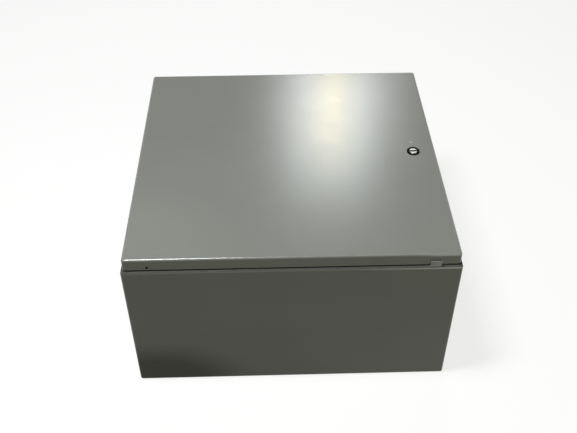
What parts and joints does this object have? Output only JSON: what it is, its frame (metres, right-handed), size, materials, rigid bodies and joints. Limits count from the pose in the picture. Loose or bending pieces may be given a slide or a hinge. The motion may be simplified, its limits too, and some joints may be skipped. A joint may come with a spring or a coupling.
{
  "type": "traffic signal controller cabinet",
  "caption": "Wall-hung grey steel cabinet with a full-face hinged door and quarter-turn lock, holding traffic signal control equipment on an inner panel.",
  "frame": {"origin": "centre of the flat back face, which lies on the floor", "axes": "+Z comes out of the door, +X runs from the hinges to the lock, +Y is up when the cabinet hangs on a wall"},
  "size_m": [0.61, 0.61, 0.3338],
  "materials": {
    "cabinet_paint": "satin grey powder coat",
    "gasket_foam": "closed-cell black foam",
    "rest_nylon": "moulded grey nylon",
    "hinge_zinc": "zinc-plated steel",
    "pin_steel": "ground steel",
    "lock_black": "black powder coat on die-cast zinc",
    "lock_bright": "bright nickel plate",
    "plated_steel": "zinc-plated steel",
    "panel_white": "semi-gloss white powder coat",
    "pocket_plastic": "grained grey polystyrene",
    "shelf_zinc": "galvanised sheet",
    "unit_case": "grey painted aluminium sheet",
    "unit_front": "brushed anodised aluminium",
    "display_black": "smoked window",
    "keypad_film": "embossed polyester membrane",
    "connector_black": "black anodised shell",
    "monitor_lens": "amber lens",
    "red_lens": "red lens",
    "yellow_lens": "yellow lens",
    "green_lens": "green lens",
    "socket_black": "moulded phenolic",
    "module_case": "black moulded case",
    "flasher_case": "grey moulded case",
    "relay_cover": "smoked polycarbonate cover",
    "breaker_case": "moulded thermoset",
    "toggle_plastic": "moulded nylon",
    "surge_case": "moulded nylon",
    "terminal_black": "moulded phenolic",
    "bar_brass": "drawn brass",
    "bar_aluminium": "drawn aluminium",
    "insulator_red": "glass-polyester standoff"
  },
  "bodies": {
    "cabinet": {"enclosure_body": "cabinet_paint", "door_rest": "rest_nylon", "upper_hinge_body_leaf": "hinge_zinc", "lower_hinge_body_leaf": "hinge_zinc", "upper_hinge_pin": "pin_steel", "lower_hinge_pin": "pin_steel", "mounting_panel": "panel_white", "panel_studs": "plated_steel", "body_ground_stud": "plated_steel", "equipment_shelf": "shelf_zinc", "controller_case": "unit_case", "controller_front_panel": "unit_front", "controller_display": "display_black", "controller_keypad": "keypad_film", "controller_connectors": "connector_black", "monitor_case": "unit_case", "monitor_front_panel": "unit_front", "monitor_lamps": "monitor_lens", "load_bay": "shelf_zinc", "module_sockets": "socket_black", "load_switch_1": "module_case", "load_switch_2": "module_case", "load_switch_3": "module_case", "load_switch_4": "module_case", "red_signal_lamps": "red_lens", "yellow_signal_lamps": "yellow_lens", "green_signal_lamps": "green_lens", "flasher_unit": "flasher_case", "relay_base": "socket_black", "flash_transfer_relay": "relay_cover", "din_rail": "shelf_zinc", "main_breaker": "breaker_case", "signal_breaker": "breaker_case", "surge_protector": "surge_case", "upper_field_terminals": "terminal_black", "lower_field_terminals": "terminal_black", "neutral_bar": "bar_brass", "neutral_insulators": "insulator_red", "ground_bar": "bar_aluminium", "ground_spacers": "plated_steel"},
    "door": {"door": "cabinet_paint", "door_gasket": "gasket_foam", "document_pocket": "pocket_plastic", "door_ground_stud": "plated_steel", "lock_housing": "lock_black", "lock_nut": "plated_steel", "upper_hinge_door_leaf": "hinge_zinc", "lower_hinge_door_leaf": "hinge_zinc"},
    "lock": {"lock_insert": "lock_bright", "lock_cam": "plated_steel", "lock_cam_screw": "plated_steel"},
    "main_toggle": {"main_breaker_toggle": "toggle_plastic"},
    "signal_toggle": {"signal_breaker_toggle": "toggle_plastic"}
  },
  "joints": [
    {"name": "door_swing", "type": "hinge", "parent": "cabinet", "child": "door", "pos_m": [-0.2953, 0, 0.3155], "axis": [0, -1, 0], "range_deg": [0, 115]},
    {"name": "lock_turn", "type": "hinge", "parent": "door", "child": "lock", "pos_m": [0.2555, -0.0018, 0.332], "axis": [0, 0, 1], "range_deg": [0, 90]},
    {"name": "main_breaker_flip", "type": "hinge", "parent": "cabinet", "child": "main_toggle", "pos_m": [0.1047, -0.0734, 0.0851], "axis": [1, 0, 0], "range_deg": [0, 80]},
    {"name": "signal_breaker_flip", "type": "hinge", "parent": "cabinet", "child": "signal_toggle", "pos_m": [0.1377, -0.0734, 0.0851], "axis": [1, 0, 0], "range_deg": [0, 80]}
  ]
}
